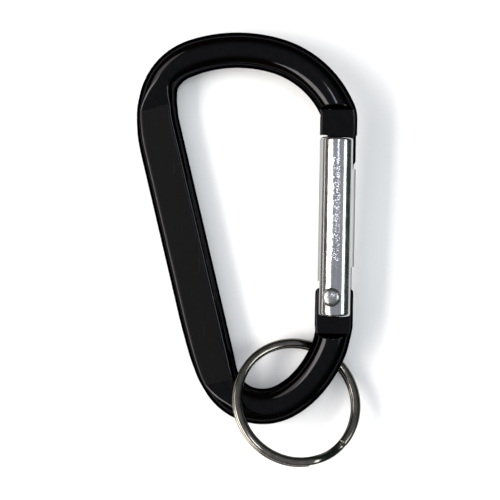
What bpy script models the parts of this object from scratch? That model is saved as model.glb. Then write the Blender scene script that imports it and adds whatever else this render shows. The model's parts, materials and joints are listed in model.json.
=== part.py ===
"""Pocket carabiner with a split key ring, lying on a table on its spine and on the ring.

Everything is drawn flat, in the carabiner's own plane: X to the right, Y along the gate towards the nose
and Z out of the front face. The resting_pose empty then tips it to the pose in which it lies, with the table
at z = 0 and the object's box centred over the origin. Metres.
"""

import math

import bmesh
import bpy
from mathutils import Matrix, Quaternion, Vector

MM = 0.001
GAP = 0.3 * MM

# Bar of the frame, bent from round rod
BAR_RADIUS = 3.4 * MM
BAR_SIDES = 22
ARC_STEP = 1.9 * MM

# Centreline from the nose kink over the top, down the spine and round to the hinge kink, as (radius, degrees)
# for a bend to the left and (None, length) for a straight. The first bend starts a little way after the kink
NOSE_KINK = (17.45 * MM, 22.77 * MM)
NOSE_STRAIGHT = 0.9 * MM
FIRST_HEADING = 115.8
CENTRELINE = (
    (18.9 * MM, 48.8),
    (27.8 * MM, 33.7),
    (10.7 * MM, 85.9),
    (None, 49.4 * MM),
    (9.5 * MM, 106.6),
    (16.9 * MM, 19.3),
    (23.4 * MM, 21.0),
)
BENDS_BEFORE_SPINE = 3
SPINE_HEADING = FIRST_HEADING + sum(turn for _, turn in CENTRELINE[:BENDS_BEFORE_SPINE])

# Half widths of the bar in the frame's plane, as (distance along the centreline from the first bend, half width)
INNER_HALF_WIDTHS = (
    (0, 3.45),
    (8, 3.45),
    (34, 3.37),
    (37, 3.0),
    (39.8, 2.95),
    (42.1, 3.68),
    (45.7, 4.3),
    (96.7, 4.3),
    (99.5, 4.15),
    (104, 3.75),
    (106.7, 3.47),
)
OUTER_HALF_WIDTHS = (
    (0, 3.38),
    (44, 3.55),
    (47.3, 3.93),
    (50.5, 4.5),
    (53, 4.6),
    (87, 4.57),
    (92, 4.43),
    (95, 4.25),
    (97.5, 3.93),
    (100.3, 3.5),
)

# Flat panels pressed into both faces of the spine
PANEL_HALF_THICKNESS = 2.4 * MM
PANEL_START = -2.8 * MM
PANEL_END = 52.0 * MM
PANEL_RAMP = 5.5 * MM
PRESS_HALF_WIDTH = 6.5 * MM
PRESS_TOP = BAR_RADIUS + 0.4 * MM

# Flat tongues pressed on both ends of the bar
TONGUE_HALF_THICKNESS = 1.5 * MM
TONGUE_STEP_RUN = 1.0 * MM
NOSE_X = 17.45 * MM
NOSE_HALF_WIDTH = 3.6 * MM
NOSE_STEP_Y = 23.2 * MM
NOSE_TIP_Y = 12.5 * MM
NOSE_CATCH_X = 15.3 * MM
HINGE_X = 17.2 * MM
HINGE_KINK_Y = -19.4 * MM
HINGE_HALF_WIDTH = 3.7 * MM
HINGE_STEP_Y = -19.9 * MM
HINGE_TIP_Y = -11.1 * MM
TIP_CORNER = 1.0 * MM

# Gate, a slotted and bored rod
GATE_RADIUS = 3.5 * MM
GATE_X = 17.4 * MM
GATE_TOP_Y = 18.0 * MM
GATE_BOTTOM_Y = -16.7 * MM
GATE_EDGE = 0.8 * MM
SLOT_HALF_WIDTH = TONGUE_HALF_THICKNESS + GAP
NOSE_SLOT_END_Y = 11.8 * MM
NOSE_SLOT_WEB = 1.1 * MM
HINGE_SLOT_INNER_Y = -9.9 * MM
HINGE_SLOT_OUTER_Y = -6.9 * MM
BORE_RADIUS = 2.1 * MM
BORE_END_Y = 5.0 * MM

# Rivet that the gate turns on
PIVOT = (16.85 * MM, -12.8 * MM)
RIVET_RADIUS = 1.0 * MM
RIVET_HEAD_RADIUS = 1.75 * MM
RIVET_HEAD_BASE = 3.05 * MM
RIVET_HEAD_RISE = 0.8 * MM
POCKET_FLOOR = RIVET_HEAD_BASE - GAP

# Plunger and its spring, in the gate's bore
PLUNGER_RADIUS = BORE_RADIUS - GAP
PLUNGER_LENGTH = 5.0 * MM
PLUNGER_BOTTOM_Y = HINGE_TIP_Y + GAP
SPIGOT_RADIUS = 1.1 * MM
SPIGOT_LENGTH = 1.8 * MM
SPRING_WIRE_RADIUS = 0.25 * MM
SPRING_TURNS = 7
SPRING_POINTS_PER_TURN = 12

# Split key ring: two turns of flat wire, with one crossover
RING_CENTRE = (10.4 * MM, -33.4 * MM, 1.02 * MM)
RING_LEAN = 30.1
RING_LEAN_TOWARDS = 49.7
RING_MEAN_RADIUS = 11.85 * MM
RING_WIRE_WIDTH = 1.7 * MM
RING_WIRE_HEIGHT = 0.95 * MM
RING_WIRE_CORNER = 0.3 * MM
RING_PITCH = RING_WIRE_HEIGHT + 0.12 * MM
RING_CROSSOVER_START = 283.0
RING_CROSSOVER_SPAN = 34.0
RING_POINTS = 120
RING_PIVOT = (7.4 * MM, -33.4 * MM)
RING_AXIS_HEADING = 107.0

# How the object lies: the side with the gate is propped up by the ring
REST_TILT = 7.7


def clear_scene():
    for old in list(bpy.data.objects):
        bpy.data.objects.remove(old)


def new_collection(name):
    collection = bpy.data.collections.new(name)
    bpy.context.scene.collection.children.link(collection)
    return collection


def new_material(name, colour, metallic, roughness):
    material = bpy.data.materials.new(name)
    material.use_nodes = True
    shader = material.node_tree.nodes["Principled BSDF"]
    shader.inputs["Base Color"].default_value = (*colour, 1.0)
    shader.inputs["Metallic"].default_value = metallic
    shader.inputs["Roughness"].default_value = roughness
    return material


def new_empty(name, parent, location=(0, 0, 0)):
    empty = bpy.data.objects.new(name, None)
    PARTS.objects.link(empty)
    empty.parent = parent
    empty.location = location
    return empty


def new_object(name, mesh, parent, collection, location=(0, 0, 0)):
    made = bpy.data.objects.new(name, mesh)
    collection.objects.link(made)
    made.parent = parent
    made.location = location
    return made


def finish_part(part, material, sharp_angle=32):
    part.data.materials.clear()
    part.data.materials.append(material)
    part.data.shade_smooth()
    part.data.set_sharp_from_angle(angle=math.radians(sharp_angle))


def mesh_from(bm, name):
    bmesh.ops.recalc_face_normals(bm, faces=bm.faces)
    mesh = bpy.data.meshes.new(name)
    bm.to_mesh(mesh)
    bm.free()
    return mesh


def new_cylinder(name, radius, start, end, parent, collection, segments=32):
    """A round bar of that radius between two points."""
    start, end = Vector(start), Vector(end)
    bm = bmesh.new()
    bmesh.ops.create_cone(
        bm, cap_ends=True, segments=segments, radius1=radius, radius2=radius, depth=(end - start).length
    )
    made = new_object(name, mesh_from(bm, name), parent, collection, (start + end) / 2)
    made.rotation_mode = "QUATERNION"
    made.rotation_quaternion = (end - start).to_track_quat("Z", "Y")
    return made


def new_prism(name, outline, half_height, parent, matrix=Matrix.Identity(4)):
    """A cutter: a flat outline in its own XY plane, made half_height thick each way along Z."""
    bm = bmesh.new()
    floor = bm.faces.new([bm.verts.new((x, y, -half_height)) for x, y in outline])
    raised = bmesh.ops.extrude_face_region(bm, geom=[floor])["geom"]
    lifted = [item for item in raised if isinstance(item, bmesh.types.BMVert)]
    bmesh.ops.translate(bm, verts=lifted, vec=(0, 0, 2 * half_height))
    made = new_object(name, mesh_from(bm, name), parent, CUTTERS)
    made.matrix_local = matrix
    return made


def cut(part, cutters):
    for cutter in cutters:
        cutter.hide_render = True
        cutter.display_type = "WIRE"
        boolean = part.modifiers.new(cutter.name, "BOOLEAN")
        boolean.operation = "DIFFERENCE"
        boolean.solver = "EXACT"
        boolean.object = cutter


def turned_part(name, profile, parent, location=(0, 0, 0)):
    """A profile of (radius, height) points, top to bottom, turned about Z."""
    bm = bmesh.new()
    points = [bm.verts.new((radius, 0, height)) for radius, height in profile]
    for first, second in zip(points, points[1:]):
        bm.edges.new((first, second))
    made = new_object(name, mesh_from(bm, name), parent, PARTS, location)
    screw = made.modifiers.new("turn", "SCREW")
    screw.steps = 24
    screw.render_steps = 24
    screw.use_merge_vertices = True
    screw.merge_threshold = 0.00001
    return made


def stepped(table, distance):
    """Reads a (distance, value) table in millimetres, straight between its rows."""
    distance /= MM
    if distance <= table[0][0]:
        return table[0][1] * MM
    for (start, low), (end, high) in zip(table, table[1:]):
        if distance <= end:
            return (low + (high - low) * (distance - start) / (end - start)) * MM
    return table[-1][1] * MM


def bend_points():
    """The centreline between the kinks, as (point, distance from the first bend), and where the spine starts."""
    place = Vector(NOSE_KINK)
    heading = math.radians(FIRST_HEADING)
    points = [(place.copy(), -NOSE_STRAIGHT)]
    place += NOSE_STRAIGHT * Vector((math.cos(heading), math.sin(heading)))
    travelled = 0.0
    points.append((place.copy(), travelled))
    spine_start = None
    for radius, amount in CENTRELINE:
        if radius is None:
            spine_start = place.copy()
            lengths = [amount * share for share in (0.04, 0.08, 0.5, 0.9, 0.95, 1.0)]
            ahead = Vector((math.cos(heading), math.sin(heading)))
            points += [(place + ahead * length, travelled + length) for length in lengths]
            travelled += amount
        else:
            turn = math.radians(amount)
            left = Vector((-math.sin(heading), math.cos(heading)))
            centre = place + left * radius
            count = max(3, round(radius * turn / ARC_STEP))
            for i in range(1, count + 1):
                angle = heading + turn * i / count
                points.append((centre + radius * Vector((math.sin(angle), -math.cos(angle))),
                               travelled + radius * turn * i / count))
            heading += turn
            travelled += radius * turn
        place = points[-1][0].copy()
    return points, spine_start


def tongue_stations(x, tip_y, root_y, half_width):
    """A straight tongue from its tip to its root, with the tip's corners rounded, as (point, half width)."""
    inward = math.copysign(1, root_y - tip_y)
    stations = []
    for degrees in (0, 30, 60, 90):
        depth = TIP_CORNER * (1 - math.cos(math.radians(degrees)))
        narrowing = TIP_CORNER * (1 - math.sin(math.radians(degrees)))
        stations.append((Vector((x, tip_y + inward * depth)), half_width - narrowing))
    stations.append((Vector((x, root_y)), half_width))
    return stations


def make_frame_blank(spine_points):
    """Round bar swept along the whole frame, swollen where the spine is pressed: a loft of unlike ellipses."""
    nose = tongue_stations(NOSE_X, NOSE_TIP_Y, NOSE_KINK[1] - 1.2 * MM, NOSE_HALF_WIDTH)
    hinge = tongue_stations(HINGE_X, HINGE_TIP_Y, HINGE_KINK_Y, HINGE_HALF_WIDTH)
    stations = [(point, width, width) for point, width in nose]
    for point, travelled in spine_points:
        stations.append((point, stepped(OUTER_HALF_WIDTHS, travelled), stepped(INNER_HALF_WIDTHS, travelled)))
    stations += [(point, width, width) for point, width in reversed(hinge)]

    bm = bmesh.new()
    rings = []
    for i, (point, outer, inner) in enumerate(stations):
        before = (point - stations[max(i - 1, 0)][0]).normalized()
        after = (stations[min(i + 1, len(stations) - 1)][0] - point).normalized()
        ahead = (before + after).normalized()
        mitre = 1 / max(before.dot(ahead), after.dot(ahead))
        outward = Vector((ahead.y, -ahead.x)) * mitre
        ring = []
        for k in range(BAR_SIDES):
            angle = 2 * math.pi * (k + 0.5) / BAR_SIDES
            reach = (outer if math.cos(angle) > 0 else inner) * math.cos(angle)
            spot = point + outward * reach
            ring.append(bm.verts.new((spot.x, spot.y, BAR_RADIUS * math.sin(angle))))
        rings.append(ring)
    for first, second in zip(rings, rings[1:]):
        for k in range(BAR_SIDES):
            n = (k + 1) % BAR_SIDES
            bm.faces.new((first[k], first[n], second[n], second[k]))
    bm.faces.new(rings[0])
    bm.faces.new(rings[-1])
    return new_object("frame", mesh_from(bm, "frame"), RESTING_POSE, PARTS)


def press_cutters(name, face, steps, origin, heading, half_width):
    """A press die for one face: (distance along heading, height) steps at origin, swept half_width each way."""
    ahead = Vector((math.cos(heading), math.sin(heading), 0))
    side = Vector((0, 0, face))
    across = ahead.cross(side)
    matrix = Matrix((ahead, side, across)).transposed().to_4x4()
    matrix.translation = Vector((origin[0], origin[1], 0))
    outline = list(steps)
    outline += [(steps[-1][0], 2 * BAR_RADIUS), (steps[0][0], 2 * BAR_RADIUS)]
    return new_prism(name, outline, half_width, RESTING_POSE, matrix)


def make_frame():
    spine_points, spine_start = bend_points()
    frame = make_frame_blank(spine_points)
    cutters = []
    for face, label in ((1, "front"), (-1, "back")):
        panel = (
            (PANEL_START - PANEL_RAMP, PRESS_TOP),
            (PANEL_START, PANEL_HALF_THICKNESS),
            (PANEL_END, PANEL_HALF_THICKNESS),
            (PANEL_END + PANEL_RAMP, PRESS_TOP),
        )
        spine_heading = math.radians(SPINE_HEADING)
        cutters.append(
            press_cutters(f"panel_press_{label}", face, panel, spine_start, spine_heading, PRESS_HALF_WIDTH)
        )
        tongues = (
            ("nose", NOSE_X, NOSE_TIP_Y, NOSE_STEP_Y, math.radians(90)),
            ("hinge", HINGE_X, HINGE_TIP_Y, HINGE_STEP_Y, math.radians(-90)),
        )
        for end, x, tip_y, step_y, heading in tongues:
            flat = abs(step_y - tip_y)
            steps = (
                (-2 * MM, TONGUE_HALF_THICKNESS),
                (flat, TONGUE_HALF_THICKNESS),
                (flat + TONGUE_STEP_RUN, PRESS_TOP),
            )
            name = f"{end}_press_{label}"
            cutters.append(press_cutters(name, face, steps, (x, tip_y), heading, PRESS_HALF_WIDTH))
    catch = (
        (NOSE_CATCH_X - 4 * MM, NOSE_TIP_Y - 1 * MM),
        (NOSE_CATCH_X, NOSE_TIP_Y - 1 * MM),
        (NOSE_CATCH_X, GATE_TOP_Y + GAP),
        (NOSE_CATCH_X - 4 * MM, GATE_TOP_Y + GAP),
    )
    cutters.append(new_prism("nose_catch", catch, 2 * BAR_RADIUS, RESTING_POSE))
    trim_x = GATE_X + GATE_RADIUS - 0.05 * MM
    trim = (
        (trim_x, NOSE_TIP_Y - 1 * MM),
        (trim_x + 2 * MM, NOSE_TIP_Y - 1 * MM),
        (trim_x + 2 * MM, GATE_TOP_Y + GAP),
        (trim_x, GATE_TOP_Y + GAP),
    )
    cutters.append(new_prism("nose_trim", trim, 2 * BAR_RADIUS, RESTING_POSE))
    hole_ends = [(PIVOT[0], PIVOT[1], z) for z in (-BAR_RADIUS, BAR_RADIUS)]
    cutters.append(
        new_cylinder("tongue_hole", RIVET_RADIUS + GAP, *hole_ends, RESTING_POSE, CUTTERS, segments=24)
    )
    cut(frame, cutters)
    finish_part(frame, new_material("black_anodised", (0.008, 0.008, 0.009), 0.7, 0.22))
    return frame


def on_gate(x, y, z=0.0):
    """A point of the carabiner's plane, seen from the gate's pivot."""
    return (x - PIVOT[0], y - PIVOT[1], z)


def make_gate():
    gate = new_cylinder(
        "gate", GATE_RADIUS, on_gate(GATE_X, GATE_BOTTOM_Y), on_gate(GATE_X, GATE_TOP_Y), GATE_AXIS, PARTS, 36
    )
    bevel = gate.modifiers.new("rounded_ends", "BEVEL")
    bevel.width = GATE_EDGE
    bevel.segments = 3
    bevel.limit_method = "ANGLE"
    bevel.angle_limit = math.radians(60)

    inner_x, outer_x = GATE_X - GATE_RADIUS, GATE_X + GATE_RADIUS
    nose_slot = (
        on_gate(inner_x + NOSE_SLOT_WEB, GATE_TOP_Y + 1 * MM)[:2],
        on_gate(inner_x + NOSE_SLOT_WEB, NOSE_SLOT_END_Y)[:2],
        on_gate(outer_x + 1 * MM, NOSE_SLOT_END_Y)[:2],
        on_gate(outer_x + 1 * MM, GATE_TOP_Y + 1 * MM)[:2],
    )
    slope = (HINGE_SLOT_OUTER_Y - HINGE_SLOT_INNER_Y) / (2 * GATE_RADIUS)
    hinge_slot = (
        on_gate(inner_x - 1 * MM, GATE_BOTTOM_Y - 1 * MM)[:2],
        on_gate(outer_x + 1 * MM, GATE_BOTTOM_Y - 1 * MM)[:2],
        on_gate(outer_x + 1 * MM, HINGE_SLOT_OUTER_Y + slope * MM)[:2],
        on_gate(inner_x - 1 * MM, HINGE_SLOT_INNER_Y - slope * MM)[:2],
    )
    bore_ends = (on_gate(GATE_X, GATE_BOTTOM_Y - 1 * MM), on_gate(GATE_X, BORE_END_Y))
    cutters = [
        new_prism("nose_slot", nose_slot, SLOT_HALF_WIDTH, GATE_AXIS),
        new_prism("hinge_slot", hinge_slot, SLOT_HALF_WIDTH, GATE_AXIS),
        new_cylinder("bore", BORE_RADIUS, *bore_ends, GATE_AXIS, CUTTERS, segments=24),
        new_cylinder(
            "rivet_hole", RIVET_RADIUS + GAP, (0, 0, -5 * MM), (0, 0, 5 * MM), GATE_AXIS, CUTTERS, segments=24
        ),
    ]
    for side, label in ((1, "front"), (-1, "back")):
        pocket_ends = ((0, 0, side * POCKET_FLOOR), (0, 0, side * 5 * MM))
        pocket_radius = RIVET_HEAD_RADIUS + GAP
        cutters.append(new_cylinder(f"head_pocket_{label}", pocket_radius, *pocket_ends, GATE_AXIS, CUTTERS))
    cut(gate, cutters)
    finish_part(gate, new_material("polished_aluminium", (0.78, 0.78, 0.79), 1.0, 0.16))
    return gate


def make_rivet():
    head = []
    for degrees in (0, 22.5, 45, 67.5, 90):
        angle = math.radians(degrees)
        head.append((RIVET_HEAD_RADIUS * math.sin(angle), RIVET_HEAD_BASE + RIVET_HEAD_RISE * math.cos(angle)))
    upper = head + [(RIVET_RADIUS, RIVET_HEAD_BASE)]
    lower = [(radius, -height) for radius, height in reversed(upper)]
    rivet = turned_part("hinge_rivet", upper + lower, GATE_AXIS)
    finish_part(rivet, new_material("rivet_steel", (0.62, 0.62, 0.63), 1.0, 0.25))
    return rivet


def make_plunger():
    """A flat-ended pin on the hinge tongue's end, with a spigot that centres the spring."""
    edge = 0.25 * MM
    profile = (
        (0, PLUNGER_LENGTH + SPIGOT_LENGTH),
        (SPIGOT_RADIUS - edge, PLUNGER_LENGTH + SPIGOT_LENGTH),
        (SPIGOT_RADIUS, PLUNGER_LENGTH + SPIGOT_LENGTH - edge),
        (SPIGOT_RADIUS, PLUNGER_LENGTH),
        (PLUNGER_RADIUS, PLUNGER_LENGTH),
        (PLUNGER_RADIUS, edge),
        (PLUNGER_RADIUS - edge, 0),
        (0, 0),
    )
    plunger = turned_part("spring_plunger", profile, GATE_AXIS, on_gate(GATE_X, PLUNGER_BOTTOM_Y))
    plunger.rotation_euler = (math.radians(-90), 0, 0)
    finish_part(plunger, new_material("plunger_steel", (0.5, 0.5, 0.52), 1.0, 0.3))
    return plunger


def mesh_of_curve(curve_object, name, parent, location=(0, 0, 0)):
    """Replaces a curve by its welded mesh."""
    bpy.context.view_layer.update()
    evaluated = curve_object.evaluated_get(bpy.context.evaluated_depsgraph_get())
    mesh = bpy.data.meshes.new_from_object(evaluated)
    bm = bmesh.new()
    bm.from_mesh(mesh)
    bmesh.ops.remove_doubles(bm, verts=bm.verts, dist=0.000001)
    bmesh.ops.recalc_face_normals(bm, faces=bm.faces)
    bm.to_mesh(mesh)
    bm.free()
    mesh.name = name
    bpy.data.objects.remove(curve_object)
    return new_object(name, mesh, parent, PARTS, location)


def new_wire(name, points, closed=False):
    curve = bpy.data.curves.new(name, "CURVE")
    curve.dimensions = "3D"
    curve.twist_mode = "Z_UP"
    spline = curve.splines.new("POLY")
    spline.points.add(len(points) - 1)
    for spot, point in zip(spline.points, points):
        spot.co = (*point, 1)
    spline.use_cyclic_u = closed
    curve.use_fill_caps = not closed
    return new_object(name, curve, None, CUTTERS)


def make_spring():
    start_y = PLUNGER_BOTTOM_Y + PLUNGER_LENGTH + GAP + SPRING_WIRE_RADIUS
    end_y = BORE_END_Y - GAP - SPRING_WIRE_RADIUS
    coil_radius = BORE_RADIUS - GAP - SPRING_WIRE_RADIUS
    count = SPRING_TURNS * SPRING_POINTS_PER_TURN
    points = []
    for i in range(count + 1):
        angle = 2 * math.pi * i / SPRING_POINTS_PER_TURN
        height = (end_y - start_y) * i / count
        points.append((coil_radius * math.cos(angle), coil_radius * math.sin(angle), height))
    wire = new_wire("spring_wire", points)
    wire.data.bevel_depth = SPRING_WIRE_RADIUS
    wire.data.bevel_resolution = 2
    spring = mesh_of_curve(wire, "gate_spring", GATE_AXIS, on_gate(GATE_X, start_y))
    spring.rotation_euler = (math.radians(-90), 0, 0)
    finish_part(spring, new_material("spring_steel", (0.35, 0.35, 0.36), 1.0, 0.35), 60)
    return spring


def ring_wire_profile():
    """The flat wire's section, a rectangle with cut corners."""
    half_width, half_height = RING_WIRE_WIDTH / 2, RING_WIRE_HEIGHT / 2
    corner = RING_WIRE_CORNER
    quarter = ((half_width, half_height - corner), (half_width - corner, half_height))
    outline = []
    for sx, sy, order in ((1, 1, 1), (-1, 1, -1), (-1, -1, 1), (1, -1, -1)):
        outline += [(sx * x, sy * y, 0) for x, y in quarter[::order]]
    return outline


def smooth_step(share):
    share = min(max(share, 0.0), 1.0)
    return share * share * (3 - 2 * share)


def make_key_ring():
    """Both turns lie flat on each other and one short crossover joins them, with a cut end on either side of it."""
    first = RING_CROSSOVER_START + RING_CROSSOVER_SPAN - 360
    last = RING_CROSSOVER_START + 360
    end_gap = 1.5
    points = []
    for i in range(RING_POINTS + 1):
        degrees = first + end_gap + (last - first - 2 * end_gap) * i / RING_POINTS
        crossed = smooth_step((degrees - RING_CROSSOVER_START) / RING_CROSSOVER_SPAN)
        angle = math.radians(degrees)
        points.append((
            RING_MEAN_RADIUS * math.cos(angle),
            RING_MEAN_RADIUS * math.sin(angle),
            RING_PITCH * (0.5 - crossed),
        ))
    section = new_wire("ring_section", ring_wire_profile(), closed=True)
    wire = new_wire("ring_wire", points)
    wire.data.bevel_mode = "OBJECT"
    wire.data.bevel_object = section
    ring = mesh_of_curve(wire, "key_ring", RING_AXIS)
    bpy.data.objects.remove(section)
    axis_place = Vector((*RING_PIVOT, 0))
    ring.location = Vector(RING_CENTRE) - axis_place
    lean_axis = Vector((-math.sin(math.radians(RING_LEAN_TOWARDS)), math.cos(math.radians(RING_LEAN_TOWARDS)), 0))
    ring.rotation_mode = "QUATERNION"
    ring.rotation_quaternion = Quaternion(lean_axis, math.radians(RING_LEAN))
    finish_part(ring, new_material("nickel_plate", (0.3, 0.29, 0.28), 1.0, 0.14))
    return ring


def world_box(parts):
    """Lowest and highest corner of all the parts, as they stand."""
    bpy.context.view_layer.update()
    depsgraph = bpy.context.evaluated_depsgraph_get()
    low, high = Vector((1, 1, 1)), Vector((-1, -1, -1))
    for part in parts:
        evaluated = part.evaluated_get(depsgraph)
        for vertex in evaluated.data.vertices:
            place = evaluated.matrix_world @ vertex.co
            low = Vector(map(min, low, place))
            high = Vector(map(max, high, place))
    return low, high


def lay_on_table(parts):
    """Tips the carabiner about its spine and sets its lowest point on the table, its box over the origin."""
    heading = math.radians(SPINE_HEADING + 180)
    spine_axis = Vector((math.cos(heading), math.sin(heading), 0))
    RESTING_POSE.rotation_mode = "QUATERNION"
    RESTING_POSE.rotation_quaternion = Quaternion(spine_axis, -math.radians(REST_TILT))
    low, high = world_box(parts)
    RESTING_POSE.location = Vector((-(low.x + high.x) / 2, -(low.y + high.y) / 2, -low.z))


clear_scene()
PARTS = new_collection("carabiner_keyring")
CUTTERS = new_collection("cutters")
RESTING_POSE = new_empty("resting_pose", None)
GATE_AXIS = new_empty("gate_pivot_axis", RESTING_POSE, (*PIVOT, 0))
RING_AXIS = new_empty("key_ring_axis", RESTING_POSE, (*RING_PIVOT, 0))
ALL_PARTS = [make_frame(), make_gate(), make_rivet(), make_plunger(), make_spring(), make_key_ring()]
lay_on_table(ALL_PARTS)
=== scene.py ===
"""Looks of the pocket carabiner with its split key ring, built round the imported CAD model.

Every piece is drawn in the carabiner's own plane, as the CAD is: X to the right, Y along the gate towards
the nose, Z out of the front face. carabiner_plane() reads from the joints how that plane lies.
"""

import json
import math

import bmesh
import bpy
import numpy as np
from mathutils import Matrix, Quaternion, Vector, noise


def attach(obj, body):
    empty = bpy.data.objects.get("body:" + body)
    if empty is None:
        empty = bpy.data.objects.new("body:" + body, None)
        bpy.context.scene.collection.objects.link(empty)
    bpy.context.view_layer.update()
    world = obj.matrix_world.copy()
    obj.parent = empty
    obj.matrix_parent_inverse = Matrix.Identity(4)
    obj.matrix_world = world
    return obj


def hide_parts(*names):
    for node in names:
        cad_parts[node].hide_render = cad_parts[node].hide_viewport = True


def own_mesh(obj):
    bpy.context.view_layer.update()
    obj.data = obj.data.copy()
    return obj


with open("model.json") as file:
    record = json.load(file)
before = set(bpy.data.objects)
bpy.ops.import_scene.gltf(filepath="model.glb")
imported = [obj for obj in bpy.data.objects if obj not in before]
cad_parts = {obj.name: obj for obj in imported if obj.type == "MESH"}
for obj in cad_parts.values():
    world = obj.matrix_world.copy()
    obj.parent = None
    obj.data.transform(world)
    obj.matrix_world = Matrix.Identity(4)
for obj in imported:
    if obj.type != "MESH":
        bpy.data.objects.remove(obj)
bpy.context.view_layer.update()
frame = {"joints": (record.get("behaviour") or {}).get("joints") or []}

MM = 0.001
GAP = 0.3 * MM
WELD_DISTANCE = 0.001 * MM

# Bent bar: a round rod along a centreline of bends to the left, (radius, degrees), and one straight,
# (None, length)
BAR_RADIUS = 3.4 * MM
NOSE_KINK = (17.45 * MM, 22.77 * MM)
NOSE_STRAIGHT = 0.9 * MM
FIRST_HEADING = 115.8
CENTRELINE = (
    (18.9 * MM, 48.8),
    (27.8 * MM, 33.7),
    (10.7 * MM, 85.9),
    (None, 49.4 * MM),
    (9.5 * MM, 106.6),
    (16.9 * MM, 19.3),
    (23.4 * MM, 21.0),
)
SPINE_HEADING = math.radians(FIRST_HEADING + sum(turn for _, turn in CENTRELINE[:3]))
KINK_ROUNDING = 2.2 * MM
WIDTH_ROUNDING = 2.0 * MM
PATH_STEP = 0.05 * MM

# Half widths of the bar on the side of the opening and on the other side, as (distance from the first bend,
# half width), both in millimetres
INNER_HALF_WIDTHS = (
    (0, 3.45),
    (8, 3.45),
    (34, 3.37),
    (37, 3.0),
    (39.8, 2.95),
    (42.1, 3.68),
    (45.7, 4.3),
    (96.7, 4.3),
    (99.5, 4.15),
    (104, 3.75),
    (106.7, 3.47),
)
OUTER_HALF_WIDTHS = (
    (0, 3.38),
    (44, 3.55),
    (47.3, 3.93),
    (50.5, 4.5),
    (53, 4.6),
    (87, 4.57),
    (92, 4.43),
    (95, 4.25),
    (97.5, 3.93),
    (100.3, 3.5),
)

# Pressed panels on the spine and pressed tongues at both ends
PANEL_HALF_THICKNESS = 2.4 * MM
PANEL_START = -2.8 * MM
PANEL_END = 52.0 * MM
PANEL_RAMP = 5.5 * MM
PRESS_HALF_WIDTH = 6.5 * MM
PRESS_TOP = BAR_RADIUS + 0.4 * MM
PRESS_EDGE = 0.32 * MM
PRESS_FADE = 0.1 * MM
LEAST_FLAT_ANGLE = math.radians(30)
TONGUE_HALF_THICKNESS = 1.5 * MM
TONGUE_STEP_RUN = 1.0 * MM
TONGUE_REACH = 15 * MM
NOSE_X = 17.45 * MM
NOSE_HALF_WIDTH = 3.6 * MM
NOSE_STEP_Y = 23.2 * MM
NOSE_TIP_Y = 12.5 * MM
NOSE_CATCH_X = 15.3 * MM
NOSE_INSET = 0.05 * MM
HINGE_X = 17.2 * MM
HINGE_KINK_Y = -19.4 * MM
HINGE_HALF_WIDTH = 3.7 * MM
HINGE_STEP_Y = -19.9 * MM
HINGE_TIP_Y = -11.1 * MM
TIP_CORNER = 1.0 * MM

# Sections along the bar: how many path steps lie between them, and how far each closer stretch reaches
PLAIN_STATIONS = 10
RAMP_STATIONS = 3
STEP_STATIONS = 2
CATCH_STATIONS = 1
SPINE_SIDE_X = 6 * MM
GATE_SIDE_X = 12 * MM
RAMP_MARGIN = 1.2 * MM
STEP_MARGIN = 2 * MM
CATCH_MARGIN = 0.3 * MM

# Gate
GATE_RADIUS = 3.5 * MM
GATE_X = 17.4 * MM
GATE_TOP_Y = 18.0 * MM
GATE_BOTTOM_Y = -16.7 * MM
GATE_EDGE = 0.8 * MM
SLOT_HALF_WIDTH = TONGUE_HALF_THICKNESS + GAP
SLOT_EDGE = 0.14 * MM
NOSE_SLOT_END_Y = 11.8 * MM
NOSE_SLOT_WEB = 1.1 * MM
HINGE_SLOT_INNER_Y = -9.9 * MM
HINGE_SLOT_OUTER_Y = -6.9 * MM
BORE_RADIUS = 2.1 * MM
BORE_END_Y = 5.0 * MM
CUT_PAST = 1 * MM
RIVET_CUT_REACH = 5 * MM
POCKET_CLEARANCE = 0.08 * MM
NORMAL_TOLERANCE = 0.012 * MM
END_TOLERANCE = 0.002 * MM
CRUMPLE_START_Y = -6.2 * MM
CRUMPLE_END_Y = 14.2 * MM
CRUMPLE_HALF_WIDTH = 1.0 * MM
CRUMPLE_SIZE = 0.38 * MM
CRUMPLE_HEIGHT = 0.032 * MM
CRUMPLE_FADE = 0.3 * MM
CRUMPLE_STEP = 0.05 * MM
CRUMPLE_EDGE_DEPTH = 0.02 * MM
CRUMPLE_BASE_DEPTH = 0.15 * MM

# Rivet, plunger and spring
PIVOT = (16.85 * MM, -12.8 * MM)
RIVET_RADIUS = 1.0 * MM
RIVET_HEAD_RADIUS = 1.75 * MM
RIVET_HEAD_BASE = 3.05 * MM
RIVET_HEAD_RISE = 0.8 * MM
DENT_DEPTH = 0.04 * MM
DENT_SIZE = 0.9 * MM
SMALL_DENT_SIZE = 0.4 * MM
PLUNGER_RADIUS = BORE_RADIUS - GAP
PLUNGER_LENGTH = 5.0 * MM
PLUNGER_BOTTOM_Y = HINGE_TIP_Y + GAP
SPIGOT_RADIUS = 1.1 * MM
SPIGOT_LENGTH = 1.8 * MM
PLUNGER_EDGE = 0.25 * MM
SPRING_WIRE_RADIUS = 0.25 * MM
SPRING_TURNS = 7
SPRING_START_Y = PLUNGER_BOTTOM_Y + PLUNGER_LENGTH + GAP + SPRING_WIRE_RADIUS
SPRING_END_Y = BORE_END_Y - GAP - SPRING_WIRE_RADIUS

# Split key ring
RING_CENTRE = (10.4 * MM, -33.4 * MM, 1.02 * MM)
RING_LEAN = math.radians(30.1)
RING_LEAN_TOWARDS = math.radians(49.7)
RING_MEAN_RADIUS = 11.85 * MM
RING_WIRE_WIDTH = 1.7 * MM
RING_WIRE_HEIGHT = 0.95 * MM
RING_PITCH = RING_WIRE_HEIGHT + 0.12 * MM
RING_CROSSOVER_START = 283.0
RING_CROSSOVER_SPAN = 34.0
RING_END_GAP = 1.5
RING_SECTION_POWER = 2.15
RING_CUT_EDGE = 0.1 * MM
RING_CUT_SHARE = 0.84

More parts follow.
